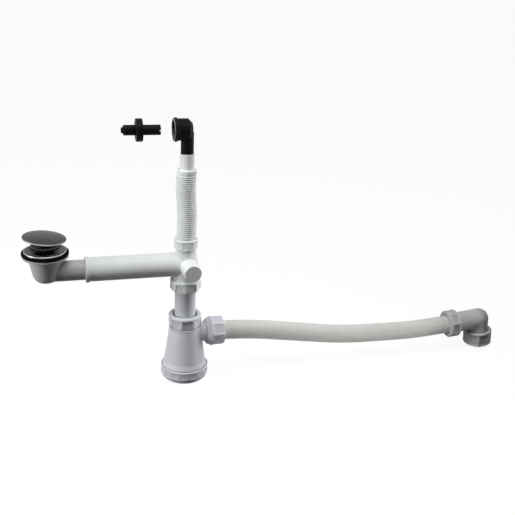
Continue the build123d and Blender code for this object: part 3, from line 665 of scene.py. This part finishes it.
def flatted_ring(outline, flat_start, flat_end, full_radius, first_angle):
    """Turn an outline of (radius, height) and press flats into it between two heights.

    At angle t a flat holds the radius to apothem / cos a, where a is the angle from the middle of
    the nearest flat. On the ribs and past either end of the flats that hold eases off.
    """
    radius, height = outline[:, 0, None], outline[:, 1, None]
    angle = rib_angles(full_radius, first_angle)
    from_middle = (angle - first_angle) % flat_pitch - flat_pitch / 2
    flat = (full_radius - nut_flat_depth) / np.cos(from_middle)
    off_flat = np.maximum(flat_start - height, height - flat_end)
    on_rib = nut_rib_half - full_radius * (flat_pitch / 2 - np.abs(from_middle))
    past_end = np.clip(off_flat / shoulder_run, 0.0, 1.0)
    at_rib = np.clip(on_rib / shoulder_run + 0.5, 0.0, 1.0)
    held = soft_lower(radius, flat, edge_softness)
    radius = held + (radius - held) * np.maximum(past_end, at_rib)
    return radius * np.cos(angle), radius * np.sin(angle), height + 0.0 * angle


def union_nut(
    name, node, finish, mouth, axis, side, thread, wall, hole, skirt, seat, end_wall, ring_in_front,
    cone=0.0, lip=0.0, first_angle=0.0,
):
    """A nut over a threaded mouth; axis is the way that the tube leaves it, side is angle nought.

    skirt is its length behind the mouth, seat the height of its shoulder, end_wall the thickness
    past that, cone the length of a tapered back end. The round ring is in front or at the back,
    and lip is how far from the other end the flats stop, or nought where they run out through it.
    """
    front = seat + end_wall
    inner = thread + thread_gap
    radius = inner + wall
    taper = max(cone, edge_break)
    back = min(max(inner + edge_break, radius - cone), radius - edge_break)
    corners = [
        (inner, -skirt), (back, -skirt), (radius, -skirt + taper),
        (radius, front - nut_bevel), (radius - nut_bevel, front),
        (hole + edge_break, front), (hole, front - edge_break), (hole, seat), (inner, seat),
    ]
    outline = spaced(rounded(corners, nut_rounding), outline_step)
    if ring_in_front:
        flat_start, flat_end = -skirt + (lip or -nut_ring), front - nut_bevel - nut_ring
    else:
        flat_start, flat_end = -skirt + taper + nut_ring, front - (lip or -nut_ring)
    across, over, along = flatted_ring(outline, flat_start, flat_end, radius, first_angle)
    directions = np.array([side, np.cross(axis, side), axis])
    grid = mouth + np.stack([across, over, along], axis=-1) @ directions
    nut = mesh_object(name, grid, torus_faces(*grid.shape[:2]), finish)
    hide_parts(node)
    return nut


# %% Nuts on the pipe run
washer_height = 0.0030
union_thread = 0.0193
hose_hole = 0.0165
half_flat = flat_pitch / 2
skyward, groundward = (0.0, 0.0, 1.0), (0.0, 0.0, -1.0)
eastward, sideways = (1.0, 0.0, 0.0), (0.0, 1.0, 0.0)
tee_mouth = (*bellows_axis, -0.072)
trap_mouth = (*bellows_axis, -0.130)
outlet_mouth = (0.272, 0.0, -0.158)
elbow_tilt = radians(6.0)
elbow_corner = np.array((0.769, 0.0, -0.178))
arm_reach, leg_reach = 0.0613, 0.0415
towards_hose = (-cos(elbow_tilt), 0.0, -sin(elbow_tilt))
towards_drain = (sin(elbow_tilt), 0.0, -cos(elbow_tilt))
arm_mouth = elbow_corner + arm_reach * np.array(towards_hose)
leg_mouth = elbow_corner + leg_reach * np.array(towards_drain)

tee_nut = union_nut(
    "tee_union_nut", "tee_nut", white_moulding, tee_mouth, groundward, eastward,
    thread=0.0206, wall=0.00385, hole=0.01775, skirt=0.0125, seat=washer_height,
    end_wall=0.0025, ring_in_front=False, first_angle=radians(8.0),
)
inlet_nut = union_nut(
    "trap_union_nut", "trap_inlet_nut", trap_moulding, trap_mouth, skyward, eastward,
    thread=0.0225, wall=0.00435, hole=0.01965, skirt=0.0110, seat=0.0040,
    end_wall=0.0045, ring_in_front=True, first_angle=half_flat,
)
outlet_nut = union_nut(
    "outlet_union_nut", "outlet_nut", trap_moulding, outlet_mouth, eastward, sideways,
    thread=union_thread, wall=0.00495, hole=hose_hole, skirt=0.0215, seat=washer_height,
    end_wall=0.0050, ring_in_front=False, cone=0.0080, first_angle=radians(-8.0),
)
hose_end_nut = union_nut(
    "hose_end_union_nut", "hose_end_nut", painted_shade_outlet_moulding, arm_mouth, towards_hose, sideways,
    thread=union_thread, wall=0.00495, hole=hose_hole, skirt=0.0140, seat=washer_height,
    end_wall=0.0025, ring_in_front=True, lip=0.0018, first_angle=half_flat,
)
socket_nut = union_nut(
    "socket_union_nut", "socket_nut", painted_shade_outlet_moulding, leg_mouth, towards_drain, sideways,
    thread=union_thread, wall=0.0058, hole=hose_hole, skirt=0.0195, seat=washer_height,
    end_wall=0.0040, ring_in_front=False, lip=0.0026, first_angle=half_flat,
)
nut_rides = (
    (tee_nut, "tee", "white_plastic"),
    (inlet_nut, "trap", "trap_plastic"),
    (outlet_nut, "trap", "trap_plastic"),
    (hose_end_nut, "outlet", "outlet_plastic"),
    (socket_nut, "outlet", "outlet_plastic"),
)
for nut, body, material in nut_rides:
    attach(nut, body)
print("union nuts", len(nut_rides), "with about", len(socket_nut.data.polygons), "faces each")

# %% [markdown]
# ## Ridges of the nipple
# The loose nipple is pushed into the overflow hole of a sink, and fine ridges round its stub grip
# there. They are small closed rings, each turned from a rounded triangle and sunk a little.

# %% Nipple ridges
stub_radius = 0.0077
ridge_sink = 0.0002
ridge_height = 0.0005
ridge_half = 0.0007
ridge_tip_round = 0.00025
ridge_sides = 96
ridge_count = 4
ridge_pitch = 0.0032
collar_face = 0.1385
nipple_height = 0.1835
ridge_places = collar_face - ridge_pitch * np.arange(1, ridge_count + 1)

ridge_outline = rounded(
    [
        (stub_radius - ridge_sink, -ridge_half),
        (stub_radius + ridge_height, 0.0),
        (stub_radius - ridge_sink, ridge_half),
    ],
    [0.0, ridge_tip_round, 0.0],
)
ridge_angle = np.linspace(0.0, 2 * pi, ridge_sides, endpoint=False)[None, None, :]
ridge_radius = ridge_outline[None, :, 0, None]
ridge_x = ridge_places[:, None, None] + ridge_outline[None, :, 1, None] + 0.0 * ridge_angle
ridge_grid = np.stack(
    [
        ridge_x,
        ridge_radius * np.cos(ridge_angle) + 0.0 * ridge_x,
        nipple_height + ridge_radius * np.sin(ridge_angle) + 0.0 * ridge_x,
    ],
    axis=-1,
)
ring_faces = torus_faces(len(ridge_outline), ridge_sides)
ring_size = len(ridge_outline) * ridge_sides
ridge_faces = np.concatenate([ring_faces + ring_size * k for k in range(ridge_count)])
nipple_ridges = mesh_object("nipple_ridges", ridge_grid, ridge_faces, black_moulding)
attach(nipple_ridges, "nipple")
print("nipple ridges", ridge_count)

# %% [markdown]
# ## Click spring
# The spring under the plug's stem shortens when the plug is pressed, which a solid coil can't. Here
# it is a wire carried round a helix, and it is squashed towards its foot as the plug goes down.

# %% Click spring
spring_low, spring_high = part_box("click_spring")
spring_length = spring_high.z - spring_low.z
wire_radius = 0.00035
wire_sides = 8
coil_turns = 5
coil_steps = 240
coil_seat_gap = 0.0001


def coiled_wire(foot, coil_radius, rise):
    """Round wire along the helix (R cos t, R sin t, foot + rise t / T), with T the last angle."""
    turn = np.linspace(0.0, 2 * pi * coil_turns, coil_steps)
    outward = np.stack([np.cos(turn), np.sin(turn), 0.0 * turn], axis=-1)
    line = coil_radius * outward
    line[:, 2] = foot + rise * turn / turn[-1]
    tangent = np.gradient(line, axis=0)
    tangent /= np.linalg.norm(tangent, axis=1, keepdims=True)
    upright = np.cross(tangent, outward)
    angle = np.linspace(0.0, 2 * pi, wire_sides, endpoint=False)[None, :, None]
    spoke = np.cos(angle) * outward[:, None, :] + np.sin(angle) * upright[:, None, :]
    return line[:, None, :] + wire_radius * spoke


wire_grid = coiled_wire(
    spring_low.z + wire_radius,
    (spring_high.x - spring_low.x) / 2 - wire_radius,
    spring_length - 2 * wire_radius - coil_seat_gap,
)
# Three quads close each eight-sided end of the wire
wire_end = np.array([(0, 1, 2, 7), (7, 2, 3, 6), (6, 3, 4, 5)])
wire_faces = np.concatenate([
    torus_faces(coil_steps, wire_sides)[:-wire_sides],
    wire_end[:, ::-1],
    wire_end + (coil_steps - 1) * wire_sides,
])
click_coil = mesh_object("click_coil", wire_grid, wire_faces, spring_wire)
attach(click_coil, "drain")
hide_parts("click_spring")
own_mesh(click_coil)
print("click coil", round(spring_length, 4), "m long")
